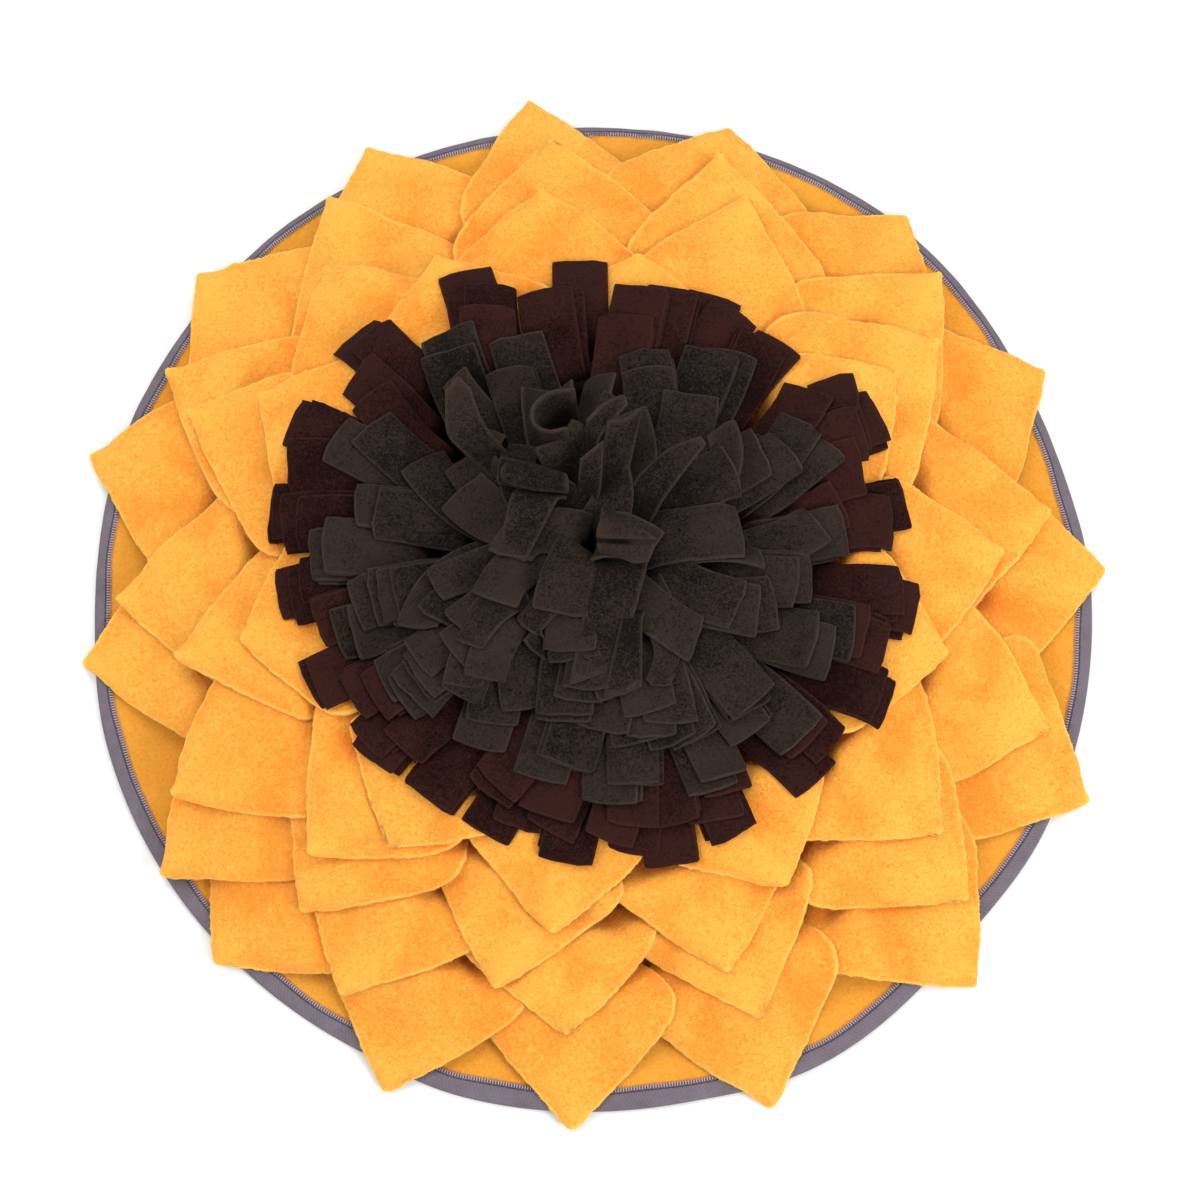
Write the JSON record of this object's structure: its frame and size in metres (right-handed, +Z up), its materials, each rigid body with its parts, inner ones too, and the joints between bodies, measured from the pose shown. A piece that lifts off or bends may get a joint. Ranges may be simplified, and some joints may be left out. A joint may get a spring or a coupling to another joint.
{
  "type": "snuffle mat",
  "caption": "Round fleece snuffle mat shaped as a sunflower, with a bound rim, rings of pointed petals and a domed middle of loose strips.",
  "frame": {"origin": "middle of the mat's flat underside", "axes": "+Z up, away from the surface that the mat lies on; +Y towards the top of the picture, +X to its right"},
  "size_m": [0.5094, 0.5268, 0.0918],
  "materials": {
    "petal_fleece": "polyester fleece with a short brushed nap, apricot yellow",
    "base_fleece": "dense brushed fleece, golden yellow",
    "binding_tape": "woven polyester tape, mauve grey, with upright stitches along its inner edge and a seam beside them",
    "black_fleece": "brushed fleece, black with a reddish purple cast",
    "charcoal_fleece": "brushed fleece with a fine speckle, warm charcoal"
  },
  "bodies": {
    "root": {"base_fleece": "base_fleece", "binding": "binding_tape", "petal_a_01": "petal_fleece", "petal_a_02": "petal_fleece", "petal_a_03": "petal_fleece", "petal_a_04": "petal_fleece", "petal_a_05": "petal_fleece", "petal_a_06": "petal_fleece", "petal_a_07": "petal_fleece", "petal_a_08": "petal_fleece", "petal_a_09": "petal_fleece", "petal_a_10": "petal_fleece", "petal_a_11": "petal_fleece", "petal_a_12": "petal_fleece", "petal_a_13": "petal_fleece", "petal_a_14": "petal_fleece", "petal_a_15": "petal_fleece", "petal_b_01": "petal_fleece", "petal_b_02": "petal_fleece", "petal_b_03": "petal_fleece", "petal_b_04": "petal_fleece", "petal_b_05": "petal_fleece", "petal_b_06": "petal_fleece", "petal_b_07": "petal_fleece", "petal_b_08": "petal_fleece", "petal_b_09": "petal_fleece", "petal_b_10": "petal_fleece", "petal_b_11": "petal_fleece", "petal_b_12": "petal_fleece", "petal_b_13": "petal_fleece", "petal_c_01": "petal_fleece", "petal_c_02": "petal_fleece", "petal_c_03": "petal_fleece", "petal_c_04": "petal_fleece", "petal_c_05": "petal_fleece", "petal_c_06": "petal_fleece", "petal_c_07": "petal_fleece", "petal_c_08": "petal_fleece", "petal_c_09": "petal_fleece", "petal_c_10": "petal_fleece", "petal_c_11": "petal_fleece", "petal_c_12": "petal_fleece", "petal_d_01": "petal_fleece", "petal_d_02": "petal_fleece", "petal_d_03": "petal_fleece", "petal_d_04": "petal_fleece", "petal_d_05": "petal_fleece", "petal_d_06": "petal_fleece", "petal_d_07": "petal_fleece", "petal_d_08": "petal_fleece", "petal_d_09": "petal_fleece", "petal_d_10": "petal_fleece", "fringe_black_low": "black_fleece", "fringe_black_high": "black_fleece", "fringe_charcoal_1": "charcoal_fleece", "fringe_charcoal_2": "charcoal_fleece", "fringe_charcoal_3": "charcoal_fleece", "fringe_charcoal_4": "charcoal_fleece", "fringe_charcoal_5": "charcoal_fleece"}
  },
  "joints": []
}
